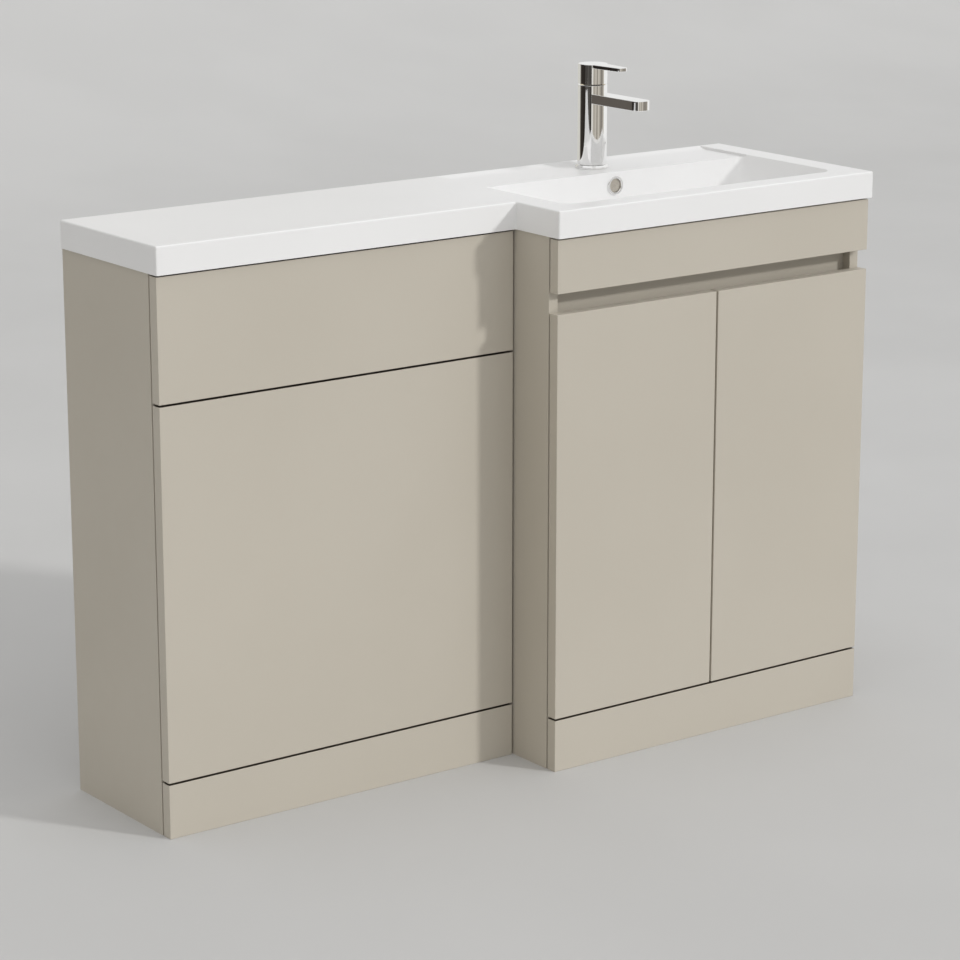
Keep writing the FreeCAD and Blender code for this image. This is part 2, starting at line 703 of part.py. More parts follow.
# Overflow ring in the back wall with a cover disc on crossed bars, and the channel bonded behind it
# down to the waste
overflow_ring = rod(overflow_ring_radius, overflow_ring_thick, overflow_centre, -ALONG_Y)
overflow_ring = overflow_ring.makeFillet(
    overflow_ring_thick / 2, [min(overflow_ring.Edges, key=lambda edge: edge.CenterOfMass.y)])
sleeve_outer = overflow_hole_radius - seat_fit
overflow_ring = overflow_ring.fuse(rod(sleeve_outer, overflow_sleeve_length, overflow_centre, ALONG_Y))
ring_front = overflow_centre - ALONG_Y * overflow_ring_thick
sleeve_inner = sleeve_outer - overflow_sleeve_wall
overflow_ring = overflow_ring.cut(rod(sleeve_inner, overflow_ring_thick + overflow_sleeve_length, ring_front,
                                      ALONG_Y))
cover_front = ring_front + ALONG_Y * overflow_cover_recess
overflow_ring = overflow_ring.fuse(rod(sleeve_inner - overflow_cover_gap, overflow_cover_thick, cover_front,
                                       ALONG_Y))
bar_front_y = cover_front.y + overflow_cover_thick
bar_half = overflow_bar / 2
bar_reach = (sleeve_inner + sleeve_outer) / 2
for half_x, half_z in ((bar_reach, bar_half), (bar_half, bar_reach)):
    bar = box(waste_x - half_x, waste_x + half_x, bar_front_y, bar_front_y + overflow_bar,
              overflow_z - half_z, overflow_z + half_z)
    overflow_ring = overflow_ring.fuse(bar)
pieces["overflow_ring"] = overflow_ring
channel_back_y = bowl_back_y + bowl_wall + channel_depth
channel = box(waste_x - channel_width / 2, waste_x + channel_width / 2, waste_y, channel_back_y,
              boss_bottom, slab_under)
channel = channel.cut(box(waste_x - channel_width / 2 + channel_wall,
                          waste_x + channel_width / 2 - channel_wall, waste_y,
                          channel_back_y - channel_wall, boss_bottom + channel_wall,
                          slab_under - channel_wall))
pieces["overflow_channel"] = channel.cut(bowl_outside).cut(waste_boss)

# Waste: flanged body with a threaded tail, its washers and nut, and the push plug;
# a groove under the nut parts the nut's stretch of the tail from the trap's stretch
flange_bottom = rebate_floor + waste_washer_thick
flange_top = flange_bottom + waste_flange_thick
waste_axis = Vector(waste_x, waste_y, 0)
tail_bottom = flange_bottom - waste_tail_length
waste_body = rod(waste_flange_radius, waste_flange_thick, waste_axis + UP * flange_bottom, UP)
waste_body = waste_body.fuse(rod(waste_tail_radius, waste_tail_length, waste_axis + UP * tail_bottom, UP))
waste_body = waste_body.cut(rod(waste_bore_radius, waste_tail_length + waste_flange_thick,
                                waste_axis + UP * tail_bottom, UP))
slot_half_width = waste_slot_width / 2
waste_body = waste_body.cut(box(waste_x - slot_half_width, waste_x + slot_half_width,
                                waste_y - waste_tail_radius, waste_y + waste_tail_radius,
                                port_z - waste_slot_height / 2, port_z + waste_slot_height / 2))
spider_bottom = flange_bottom - waste_spider_drop
spider_reach = (waste_bore_radius + waste_tail_radius) / 2
spider_half = waste_spider_thick / 2
spider_top = spider_bottom + waste_spider_height
spider = box(waste_x - spider_reach, waste_x + spider_reach, waste_y - spider_half, waste_y + spider_half,
             spider_bottom, spider_top)
spider = spider.fuse(box(waste_x - spider_half, waste_x + spider_half, waste_y - spider_reach,
                         waste_y + spider_reach, spider_bottom, spider_top))
spider = spider.fuse(rod(waste_hub_radius, waste_spider_height, waste_axis + UP * spider_bottom, UP))
spider = spider.cut(rod(plug_stem_radius + running_fit, waste_spider_height,
                        waste_axis + UP * spider_bottom, UP))
plug_bottom = flange_top + lift_room
waste_plug = rod(plug_radius, plug_thick, waste_axis + UP * plug_bottom, UP)
waste_plug = waste_plug.makeFillet(plug_edge_round,
                                   [max(waste_plug.Edges, key=lambda edge: edge.CenterOfMass.z)])
pieces["waste_plug"] = waste_plug.fuse(rod(plug_stem_radius, plug_stem_length, waste_axis + UP * plug_bottom,
                                           DOWN))
lower_washer_bottom = boss_bottom - waste_lower_washer_thick
pieces["waste_washers"] = group([
    ring(waste_flange_radius, waste_tail_radius + seat_fit, waste_washer_thick,
         waste_axis + UP * rebate_floor, UP),
    ring(waste_lower_washer_radius, waste_tail_radius + seat_fit, waste_lower_washer_thick,
         waste_axis + UP * lower_washer_bottom, UP)])
nut_base = waste_axis + UP * (lower_washer_bottom - waste_nut_height)
pieces["waste_nut"] = hexagon(waste_nut_radius, waste_nut_height, nut_base).cut(
    rod(waste_tail_radius + seat_fit, waste_nut_height, nut_base, UP))
tail_groove = ring(waste_tail_radius, waste_tail_radius - waste_groove_depth, waste_groove_width, nut_base,
                   DOWN)
pieces["waste_body"] = waste_body.fuse(spider).cut(tail_groove)

# Tap seals, base ring and body with its spout
tap_axis = Vector(tap_x, tap_y, 0)
ring_bottom = deck_top + tap_gasket_thick
body_bottom = ring_bottom + tap_ring_height
body_top = body_bottom + tap_body_height
tap_gasket = ring(tap_gasket_radius, tap_ring_bore, tap_gasket_thick, tap_axis + UP * deck_top, UP)
base_ring = rod(tap_ring_radius, tap_ring_rim, tap_axis + UP * ring_bottom, UP)
base_ring = base_ring.fuse(Part.makeCone(tap_ring_radius, tap_radius, tap_ring_height - tap_ring_rim,
                                         tap_axis + UP * (ring_bottom + tap_ring_rim), UP))
pieces["tap_base_ring"] = base_ring.cut(rod(tap_ring_bore, tap_ring_height, tap_axis + UP * ring_bottom, UP))
spout_top = body_top - spout_drop
spout_bottom = spout_top - spout_thick
spout_tip_y = tap_y - spout_reach
spout = box(tap_x - spout_width / 2, tap_x + spout_width / 2, spout_tip_y, tap_y, spout_bottom, spout_top)
spout = spout.makeFillet(spout_tip_round, [edge for edge in spout.Edges if edge.BoundBox.YMax < tap_y
                                           and edge.BoundBox.ZLength > edge.BoundBox.XLength])
spout = spout.makeFillet(spout_edge_round, [edge for edge in spout.Edges if edge.BoundBox.YMin < tap_y
                                            and edge.BoundBox.ZLength < spout_edge_round])
tap_body = rod(tap_radius, tap_body_height, tap_axis + UP * body_bottom, UP)
tap_body = tap_body.makeFillet(tap_edge_round, [max(tap_body.Edges, key=lambda edge: edge.CenterOfMass.z)])
tap_body = tap_body.fuse(spout)
cavity_bottom = body_top - cavity_depth
nut_seat = cavity_bottom + cartridge_lower_length + cartridge_flange_length
tap_body = tap_body.cut(rod(cartridge_radius + seat_fit, cavity_depth, tap_axis + UP * cavity_bottom, UP))
tap_body = tap_body.cut(rod(cartridge_nut_radius + seat_fit, body_top - nut_seat, tap_axis + UP * nut_seat,
                            UP))
passage_z = (spout_bottom + spout_top) / 2
tap_body = tap_body.cut(rod(spout_passage_radius, aerator_place, Vector(tap_x, tap_y, passage_z), -ALONG_Y))
aerator_y = tap_y - aerator_place
aerator_axis = Vector(tap_x, aerator_y, spout_bottom)
tap_body = tap_body.cut(rod(aerator_radius + seat_fit, aerator_length, aerator_axis, UP))
inlet_ends = [Vector(tap_x + side * inlet_side, tap_y - inlet_forward, body_bottom) for side in (-1, 1)]
for inlet in inlet_ends:
    tap_body = tap_body.cut(rod(inlet_radius, inlet_depth, inlet, UP))
    tap_body = tap_body.cut(rod(inlet_passage_radius, cavity_bottom - body_bottom, inlet, UP))
stud_axis = Vector(tap_x, tap_y + stud_bolt_back, 0)
tap_body = tap_body.cut(rod(stud_bolt_radius + seat_fit, stud_bolt_in_body, stud_axis + UP * body_bottom, UP))
pieces["tap_body"] = tap_body
aerator = rod(aerator_radius, aerator_length, aerator_axis, UP)
aerator = aerator.fuse(rod(aerator_lip_radius, aerator_lip_thick, aerator_axis, DOWN))
pieces["aerator"] = aerator.cut(rod(aerator_cup_radius, aerator_cup_depth + aerator_lip_thick,
                                    aerator_axis - UP * aerator_lip_thick, UP))

# Cartridge, the nut that holds it down, and the carrier that turns in it
cartridge = rod(cartridge_lower_radius, cartridge_lower_length, tap_axis + UP * cavity_bottom, UP)
cartridge = cartridge.fuse(rod(cartridge_radius, cartridge_flange_length,
                               tap_axis + UP * (nut_seat - cartridge_flange_length), UP))
for inlet in inlet_ends:
    port = Vector(inlet.x, inlet.y, cavity_bottom)
    cartridge = cartridge.cut(rod(inlet_passage_radius, cartridge_bore_depth, port, UP))
pieces["cartridge"] = cartridge.cut(rod(cartridge_bore_radius, cartridge_bore_depth,
                                        tap_axis + UP * (nut_seat - cartridge_bore_depth), UP))
pieces["cartridge_nut"] = ring(cartridge_nut_radius, cartridge_nut_bore, cartridge_nut_height,
                               tap_axis + UP * nut_seat, UP)
carrier_bottom = nut_seat + carrier_foot_gap
carrier_top = carrier_bottom + carrier_height
handle_bottom = body_top + handle_groove
pivot = Vector(tap_x, tap_y + pivot_back, handle_bottom + pivot_height)
shaft_bottom = nut_seat - cartridge_bore_depth
carrier = rod(carrier_radius, carrier_height, tap_axis + UP * carrier_bottom, UP)
carrier = carrier.fuse(rod(cartridge_bore_radius - running_fit, carrier_bottom - shaft_bottom,
                           tap_axis + UP * shaft_bottom, UP))
stem_slot_half = stem_width / 2 + lift_room
carrier = carrier.cut(box(tap_x - stem_slot_half, tap_x + stem_slot_half, tap_y - carrier_radius,
                          tap_y + carrier_radius, carrier_top - carrier_slot_depth, carrier_top))
pin_start = pivot - ALONG_X * (pivot_pin_length / 2)
pieces["cartridge_carrier"] = carrier.cut(rod(pivot_pin_radius + seat_fit, pivot_pin_length, pin_start,
                                              ALONG_X))
pieces["lever_pivot_pin"] = rod(pivot_pin_radius, pivot_pin_length, pin_start, ALONG_X)

# Stem on the pivot pin, and the handle that is held on it by a grub screw
handle_top = handle_bottom + handle_height
hollow_top = handle_top - handle_top_thick
stem_half = stem_width / 2
eye_start = pivot - ALONG_X * stem_half
stem = rod(stem_eye_radius, stem_width, eye_start, ALONG_X)
stem = stem.fuse(box(tap_x - stem_half, tap_x + stem_half, tap_y - stem_length / 2, pivot.y,
                     pivot.z - stem_eye_radius, pivot.z + stem_eye_radius))
stem = stem.fuse(box(tap_x - stem_half, tap_x + stem_half, tap_y - stem_length / 2, tap_y + stem_length / 2,
                     pivot.z - stem_eye_radius, hollow_top)).removeSplitter()
pieces["lever_stem"] = stem.cut(rod(pivot_pin_radius + running_fit, stem_width, eye_start, ALONG_X))

lever_bottom = handle_top - lever_thick
lever_tip_y = tap_y - lever_reach
lever_outline = [Vector(tap_x + x, y, lever_bottom) for x, y in (
    (-lever_root_width / 2, tap_y), (-lever_tip_width / 2, lever_tip_y), (lever_tip_width / 2, lever_tip_y),
    (lever_root_width / 2, tap_y), (-lever_root_width / 2, tap_y))]
lever = Part.Face(Part.makePolygon(lever_outline)).extrude(UP * lever_thick)
lever = lever.makeFillet(lever_tip_round, [edge for edge in lever.Edges if edge.BoundBox.YMax < tap_y
                                           and edge.BoundBox.ZLength > edge.BoundBox.XLength])
lever = lever.makeFillet(handle_edge_round, [edge for edge in lever.Edges if edge.BoundBox.YMin < tap_y
                                             and edge.BoundBox.ZLength < handle_edge_round])
handle = rod(tap_radius, handle_height, tap_axis + UP * handle_bottom, UP)
handle = handle.makeFillet(handle_edge_round, [max(handle.Edges, key=lambda edge: edge.CenterOfMass.z)])
handle = handle.fuse(lever)
handle = handle.cut(rod(handle_hollow_radius, hollow_top - handle_bottom, tap_axis + UP * handle_bottom, UP))
boss_bottom_z = hollow_top - handle_boss_drop
handle = handle.fuse(box(tap_x - handle_boss_width / 2, tap_x + handle_boss_width / 2,
                         tap_y - handle_boss_length / 2, tap_y + handle_boss_length / 2, boss_bottom_z,
                         hollow_top))
handle = handle.cut(stem)
grub_z = (boss_bottom_z + hollow_top) / 2
stem_back = Vector(tap_x, tap_y + stem_length / 2, grub_z)
handle = handle.cut(rod(grub_radius + seat_fit, tap_radius, stem_back, ALONG_Y))
handle = handle.cut(rod(grub_access_radius, tap_radius, Vector(tap_x, tap_y + handle_hollow_radius, grub_z),
                        ALONG_Y))
heel_rise = tap_radius * math.tan(math.radians(lift_angle + heel_extra_angle))
heel_start_y = tap_y + heel_start
heel_corners = [Vector(tap_x - tap_radius, y, z) for y, z in (
    (heel_start_y, handle_bottom), (heel_start_y + tap_radius, handle_bottom),
    (heel_start_y + tap_radius, handle_bottom + heel_rise), (heel_start_y, handle_bottom))]
heel = Part.Face(Part.makePolygon(heel_corners)).extrude(ALONG_X * (tap_radius + tap_radius))
pieces["tap_handle"] = handle.cut(heel)
pieces["grub_screw"] = rod(grub_radius, grub_length, stem_back, ALONG_Y)

# Fixing stud, horseshoe washer with its seal, and nut under the deck
stud_top = body_bottom + stud_bolt_in_body
pieces["tap_stud"] = rod(stud_bolt_radius, stud_bolt_length, stud_axis + UP * stud_top, DOWN)


def horseshoe(thick, top):
    """Open washer that leaves room for the two supply tails in front of the stud."""
    washer = rod(clamp_radius, thick, tap_axis + UP * top, DOWN)
    washer = washer.cut(box(tap_x - clamp_slot_width / 2, tap_x + clamp_slot_width / 2,
                            tap_y - clamp_radius, tap_y + clamp_slot_past_axis, top - thick, top))
    return washer.cut(rod(stud_bolt_radius + seat_fit, thick, stud_axis + UP * top, DOWN))


clamp_top = slab_under - clamp_seal_thick
pieces["tap_seals"] = group([tap_gasket, horseshoe(clamp_seal_thick, slab_under)])
pieces["tap_clamp_washer"] = horseshoe(clamp_thick, clamp_top)
stud_nut_base = stud_axis + UP * (clamp_top - clamp_thick - stud_nut_height)
pieces["tap_stud_nut"] = hexagon(stud_nut_radius, stud_nut_height, stud_nut_base).cut(
    rod(stud_bolt_radius + seat_fit, stud_nut_height, stud_nut_base, UP))

os.makedirs("parts", exist_ok=True)
for name, shape in pieces.items():
    shape.exportStep("parts/" + name + ".step")
    print(name, len(shape.Solids), shape.isValid(), round(shape.Volume))
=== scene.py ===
import json
import math

import bmesh
import bpy
import numpy as np
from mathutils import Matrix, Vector


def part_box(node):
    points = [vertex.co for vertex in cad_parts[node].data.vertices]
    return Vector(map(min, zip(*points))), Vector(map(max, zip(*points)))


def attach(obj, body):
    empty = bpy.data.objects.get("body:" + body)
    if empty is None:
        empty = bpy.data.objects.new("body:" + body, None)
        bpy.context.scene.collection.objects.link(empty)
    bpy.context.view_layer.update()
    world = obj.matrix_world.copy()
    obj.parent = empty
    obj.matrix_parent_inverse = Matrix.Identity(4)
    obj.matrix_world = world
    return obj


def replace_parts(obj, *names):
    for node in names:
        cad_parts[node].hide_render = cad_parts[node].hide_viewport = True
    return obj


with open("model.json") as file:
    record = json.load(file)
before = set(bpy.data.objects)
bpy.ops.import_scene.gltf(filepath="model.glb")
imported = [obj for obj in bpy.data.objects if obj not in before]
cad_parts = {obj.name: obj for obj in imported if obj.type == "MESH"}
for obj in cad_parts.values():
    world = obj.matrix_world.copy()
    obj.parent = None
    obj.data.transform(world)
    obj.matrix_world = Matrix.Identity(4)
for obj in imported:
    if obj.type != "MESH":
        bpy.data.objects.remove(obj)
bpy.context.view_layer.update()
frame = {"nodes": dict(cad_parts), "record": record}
nodes = frame["nodes"]


# Carcass sides: the four upright boards of the two cabinets.
# Fibreboard sprayed with a matt warm-grey lacquer on both faces and on the edges.
# They stand on the floor and hold the rails on glued dowels.

def node_maker(tree):
    """A function that adds nodes to a shader tree."""
    def add(kind, links=None, **settings):
        """A node of that kind: settings are its properties, links its inputs' sockets or values."""
        made = tree.nodes.new("ShaderNode" + kind)
        for key, value in settings.items():
            setattr(made, key, value)
        for key, value in (links or {}).items():
            if isinstance(value, bpy.types.NodeSocket):
                tree.links.new(value, made.inputs[key])
            else:
                made.inputs[key].default_value = value
        return made

    return add


def new_material(name):
    """A material with its shader, a maker of further nodes and the piece's own Object coordinates."""
    material = bpy.data.materials.new(name)
    material.use_nodes = True
    add = node_maker(material.node_tree)
    shader = material.node_tree.nodes["Principled BSDF"]
    return material, shader, add, add("TexCoord").outputs["Object"]


def grain(add, place, per_metre, stretch=(1, 1, 1), detail=2.0):
    """Fractal noise with that many cells per metre, drawn out along the axes whose stretch is small."""
    drawn = add("Mapping", {"Vector": place, "Scale": stretch}).outputs["Vector"]
    return add("TexNoise", {"Vector": drawn, "Scale": per_metre, "Detail": detail}).outputs["Fac"]


def between(add, factor, low, high):
    """The factor's useful stretch, 0.25 to 0.75, eased from one value or colour to the other."""
    spread = add("MapRange", {"Value": factor, "From Min": 0.25, "From Max": 0.75},
                 interpolation_type="SMOOTHERSTEP").outputs["Result"]
    if isinstance(low, tuple):
        return add("Mix", {"Factor": spread, "A": (*low, 1), "B": (*high, 1)},
                   data_type="RGBA").outputs["Result"]
    return add("Mix", {"Factor": spread, "A": low, "B": high}).outputs["Result"]


def raise_surface(add, shader, height, depth):
    """Bump of that depth in metres on the shader."""
    bump = add("Bump", {"Height": height, "Distance": depth, "Strength": 1.0})
    shader.id_data.links.new(bump.outputs["Normal"], shader.inputs["Normal"])


def feed(shader, **sockets):
    """Links each output to the shader's socket of that name, with spaces for underscores."""
    for name, output in sockets.items():
        shader.id_data.links.new(output, shader.inputs[name.replace("_", " ")])


def sprayed_tone(add, place):
    """Tone of the sprayed lacquer: cloudy over a third of a metre, with fine flecks."""
    tone = between(add, grain(add, place, 3.0), (0.553, 0.512, 0.437), (0.569, 0.528, 0.453))
    fleck = between(add, grain(add, place, 900.0), (0.985, 0.985, 0.985), (1.0, 1.0, 1.0))
    return add("Mix", {"Factor": 1.0, "A": tone, "B": fleck}, data_type="RGBA",
               blend_type="MULTIPLY").outputs["Result"]


def sprayed_skin(add, place, shader):
    """Skin of the sprayed lacquer: orange peel and a low, slightly uneven sheen."""
    shader.inputs["Specular IOR Level"].default_value = 0.25
    feed(shader, Roughness=between(add, grain(add, place, 40.0), 0.46, 0.54))
    raise_surface(add, shader, grain(add, place, 420.0), 0.00004)


def matt_lacquer():
    """Lacquer on all faces and edges."""
    material, shader, add, place = new_material("matt_lacquer")
    feed(shader, Base_Color=sprayed_tone(add, place))
    sprayed_skin(add, place, shader)
    return material


def finish_nodes(material, *names):
    """The finish on every material slot of those nodes."""
    for name in names:
        for slot in nodes[name].material_slots:
            slot.material = material


lacquer = matt_lacquer()
finish_nodes(lacquer, "wc_left_side", "wc_right_side", "vanity_left_side", "vanity_right_side")


# Rails, cupboard base and shelf: the boards that tie the sides together.
# Chipboard with a warm white melamine foil, pressed on with a fine pearl texture.
# Rails and base are dowelled between the sides, and the shelf lies on four pins.

def melamine_board():
    """Melamine foil: faint lengthwise print, a pearled skin and a dry sheen."""
    material, shader, add, place = new_material("melamine_board")
    prints = grain(add, place, 30.0, stretch=(0.08, 1, 1), detail=4.0)
    feed(shader,
         Base_Color=between(add, prints, (0.585, 0.545, 0.475), (0.612, 0.573, 0.503)),
         Roughness=between(add, grain(add, place, 60.0), 0.5, 0.6))
    raise_surface(add, shader, grain(add, place, 800.0), 0.00005)
    return material


melamine = melamine_board()
finish_nodes(melamine, "wc_top_back_rail", "wc_top_front_rail", "wc_middle_rail", "wc_bottom_rail",
             "vanity_top_back_rail", "vanity_bottom_back_rail", "vanity_base", "vanity_shelf")


# Dowels and corner blocks: what joins the boards and carries the fascia and plinths.
# Turned and sawn beech, glued in.

def beech():
    """Beech: pale brown with long growth lines and short darker flecks, sawn rough."""
    material, shader, add, place = new_material("beech")
    lines = grain(add, place, 260.0, stretch=(0.06, 1, 1), detail=5.0)
    flecks = grain(add, place, 1400.0, stretch=(0.12, 1, 1))
    tone = between(add, lines, (0.50, 0.32, 0.175), (0.61, 0.43, 0.26))
    shade = between(add, flecks, (0.86, 0.84, 0.82), (1.0, 1.0, 1.0))
    feed(shader,
         Base_Color=add("Mix", {"Factor": 1.0, "A": tone, "B": shade}, data_type="RGBA",
                        blend_type="MULTIPLY").outputs["Result"],
         Roughness=between(add, lines, 0.55, 0.7))
    raise_surface(add, shader, lines, 0.0001)
    return material


finish_nodes(beech(), "carcass_dowels", "fascia_blocks", "plinth_blocks")


# Connectors and shelf pins: sleeves and screws that join the two cabinets, and four pins.
# Zinc-plated steel, pressed or screwed into the boards.

def bright_steel():
    """Plated steel: cloudy zinc tone, drawn lines along Z and an uneven shine."""
    material, shader, add, place = new_material("bright_steel")
    shader.inputs["Metallic"].default_value = 1.0
    lines = grain(add, place, 1500.0, stretch=(1, 1, 0.05))
    feed(shader,
         Base_Color=between(add, grain(add, place, 120.0), (0.58, 0.58, 0.60), (0.66, 0.66, 0.66)),
         Roughness=between(add, lines, 0.22, 0.36))
    raise_surface(add, shader, lines, 0.00002)
    return material


steel = bright_steel()
finish_nodes(steel, "connector_sleeves", "connector_screws", "shelf_pins")


# Fronts: panels and plinth of the slim cabinet, fascia, finger rail, doors and plinth of the cupboard.
# Fibreboard in the same lacquer; the level edges of the panels and plinths are painted near black, as
# painted shade in the joints between them.
# The upper panel is on studs, the doors hang on hinges, the finger rail is dowelled, the rest glued.

def lacquer_with_painted_joint_shade():
    """Lacquer with painted shade on the faces that look straight up or down, which are the edges inside the
    joints between the fronts.
    """
    material, shader, add, place = new_material("lacquer_with_painted_joint_shade")
    upright = add("SeparateXYZ", {"Vector": add("NewGeometry").outputs["Normal"]}).outputs["Z"]
    level = add("Math", {0: upright}, operation="ABSOLUTE").outputs["Value"]
    # Mask of the level faces, which take the painted shade of the joints.
    edge = add("MapRange", {"Value": level, "From Min": 0.96, "From Max": 0.995}).outputs["Result"]
    # Near-black brown with faint mottling: painted shade that darkens the joint gaps.
    painted_joint_shade = between(add, grain(add, place, 500.0), (0.060, 0.046, 0.032), (0.092, 0.072, 0.052))
    feed(shader, Base_Color=add("Mix", {"Factor": edge, "A": sprayed_tone(add, place), "B": painted_joint_shade},
                                data_type="RGBA").outputs["Result"])
    sprayed_skin(add, place, shader)
    return material


# The painted joint shade goes on the panels and plinths whose level edges lie in the gaps.
finish_nodes(lacquer_with_painted_joint_shade(), "wc_plinth", "wc_lower_panel", "wc_upper_panel", "vanity_plinth")
finish_nodes(lacquer, "vanity_fascia", "finger_rail", "left_door", "right_door")


# Push-fit studs and sockets of the upper panel.
# Moulded off-white nylon, pressed into the panel and the rails.

def white_plastic():
    """Moulded plastic: a little cloudy, with a spark-eroded skin."""
    material, shader, add, place = new_material("white_plastic")
    feed(shader,
         Base_Color=between(add, grain(add, place, 25.0), (0.76, 0.75, 0.72), (0.80, 0.79, 0.76)),
         Roughness=between(add, grain(add, place, 200.0), 0.38, 0.5))
    raise_surface(add, shader, grain(add, place, 2500.0), 0.00003)
    return material


plastic = white_plastic()
finish_nodes(plastic, "panel_studs", "panel_sockets")


# Cup hinges: cups and pins on the doors, arms and plates on the sides, and their screws.
# Pressed and plated steel.

finish_nodes(steel, "left_hinge_cups", "right_hinge_cups", "left_hinge_pins", "right_hinge_pins",
             "left_cup_screws", "right_cup_screws", "hinge_arms", "hinge_plates", "hinge_screws")


# Cast top: one L-shaped casting with bowl, tap deck and turned-down edges.
# Stone-filled resin under a white gel coat, polished to a satin shine.
# It lies on the cabinets, bonded with silicone.

def cast_resin():
    """Gel coat: white with the faintest cloud and a satin, finely rubbed skin."""
    material, shader, add, place = new_material("cast_resin")
    shader.inputs["Specular IOR Level"].default_value = 0.4
    feed(shader,
         Base_Color=between(add, grain(add, place, 5.0), (0.878, 0.878, 0.876), (0.891, 0.891, 0.889)),
         Roughness=between(add, grain(add, place, 120.0), 0.36, 0.42))
    raise_surface(add, shader, grain(add, place, 700.0), 0.000006)
    return material


gel_coat = cast_resin()
finish_nodes(gel_coat, "basin_top")


# Overflow: a ring pushed into the hole in the bowl's back wall, its cover disc and the channel behind.
# The ring is chrome-plated brass; a sleeve grips the hole and crossed bars in it carry the satin disc.
# The channel is moulded plastic, bonded to the bowl from the opening down to the waste.

overflow_low, overflow_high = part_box("overflow_ring")
overflow_middle = (overflow_low + overflow_high) / 2
overflow_thick = 0.0025
overflow_centre = (overflow_middle.x, overflow_low.y + overflow_thick, overflow_middle.z)
overflow_outside = overflow_high.x - overflow_middle.x
overflow_inside = 0.0106
overflow_sleeve = 0.0109
overflow_sleeve_length = overflow_high.y - overflow_centre[1]
overflow_round = 0.00125
overflow_edge = 0.0001
cover_radius = 0.0101
cover_front = 0.0001
cover_thick = 0.0015
cover_round = 0.0005
cover_crown = 0.0002
bar_side = 0.002
bar_reach = 0.01075
bar_edge = 0.0002
pole = 0.0005
sharp_turn = math.radians(35.0)


def eased(corners, rounds, steps=8, margin=0.0002):
    """Closed outline with each corner turned into an arc of its own radius.

    The arc starts r tan(turn / 2) before the corner and goes r sin(a) along the line that comes in
    and r (1 - cos(a)) across it, with a from nothing to the turn. A point a margin before each arc
    and one a margin after it keep the straight stretches between the arcs flat.
    """
    corners = np.asarray(corners, float)
    ahead = np.roll(corners, -1, axis=0) - corners
    ahead /= np.linalg.norm(ahead, axis=1, keepdims=True)
    along = np.roll(ahead, 1, axis=0)
    across = np.stack([-along[:, 1], along[:, 0]], axis=1)
    turn = np.arctan2((across * ahead).sum(1), (along * ahead).sum(1))
    rounds = np.asarray(rounds, float)
    begin = corners - (rounds * np.tan(np.abs(turn) / 2))[:, None] * along
    angle = np.abs(turn)[:, None] * np.linspace(0.0, 1.0, steps)
    side = (np.sign(turn) * rounds)[:, None] * (1 - np.cos(angle))
    ahead_by = rounds[:, None] * np.sin(angle)
    arcs = begin[:, None] + ahead_by[..., None] * along[:, None] + side[..., None] * across[:, None]
    before = arcs[:, :1] - margin * along[:, None]
    after = arcs[:, -1:] + margin * ahead[:, None]
    return np.concatenate([before, arcs, after], axis=1).reshape(-1, 2)


def turned(profile, centre, axis, steps=128):
    """Rings of a turned shape: a profile point (r, h) goes to r cos(a), r sin(a), h round the axis."""
    axis = np.asarray(axis, float)
    across = np.roll(axis, 1)
    angle = np.arange(steps) * (2 * math.pi / steps)
    spokes = np.cos(angle)[:, None] * across + np.sin(angle)[:, None] * np.cross(axis, across)
    radius, height = np.asarray(profile, float).T
    return np.asarray(centre) + radius[:, None, None] * spokes + height[:, None, None] * axis


def crowned(radius, top, crown, rim, steps=24, rim_steps=10):
    """Profile of a disc from its edge over the rim to the middle: a quarter circle of the rim's radius,
    then a face that falls from the middle by the crown times (r / edge) squared."""
    edge = radius - rim
    angle = np.linspace(0.0, math.pi / 2, rim_steps)
    bend = np.stack([edge + rim * np.cos(angle), top - crown - rim + rim * np.sin(angle)], axis=1)
    inward = np.linspace(edge, pole, steps)[1:]
    return np.concatenate([bend, np.stack([inward, top - crown * (inward / edge) ** 2], axis=1)])


def carried(section, start, end):
    """Rings of a bar: a closed section of points (u, v) across it, at its start and at its end."""
    start, end = np.asarray(start, float), np.asarray(end, float)
    along = (end - start) / np.linalg.norm(end - start)
    across = np.roll(along, 1)
    spread = section[:, :1] * across + section[:, 1:] * np.cross(along, across)
    return np.stack([start + spread, end + spread])


def ring_faces(count, size, joined, first):
    """Quads from each ring of points to the next, numbered from first. The last ring joins the first
    one, or one face closes each end."""
    number = first + np.arange(count * size).reshape(count, size)
    low, high = (number, np.roll(number, -1, axis=0)) if joined else (number[:-1], number[1:])
    quads = np.stack([low, np.roll(low, -1, axis=1), np.roll(high, -1, axis=1), high], axis=-1)
    ends = [] if joined else [number[0, ::-1].tolist(), number[-1].tolist()]
    return quads.reshape(-1, 4).tolist() + ends


def skin(name, shells, material, body):
    """A piece made of closed shells, each (rings, joined), smooth but for edges past the sharp turn."""
    mesh = bpy.data.meshes.new(name)
    points = np.concatenate([rings.reshape(-1, 3) for rings, joined in shells])
    firsts = np.cumsum([0] + [rings.shape[0] * rings.shape[1] for rings, joined in shells])
    faces = []
    for (rings, joined), first in zip(shells, firsts):
        faces += ring_faces(*rings.shape[:2], joined, first)
    mesh.from_pydata(points.tolist(), [], faces)
    work = bmesh.new()
    work.from_mesh(mesh)
    bmesh.ops.recalc_face_normals(work, faces=work.faces)
    work.to_mesh(mesh)
    work.free()
    mesh.polygons.foreach_set("use_smooth", np.ones(len(mesh.polygons), bool))
    mesh.set_sharp_from_angle(angle=sharp_turn)
    mesh.materials.append(material)
    piece = bpy.data.objects.new(name, mesh)
    bpy.context.scene.collection.objects.link(piece)
    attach(piece, body)
    return piece


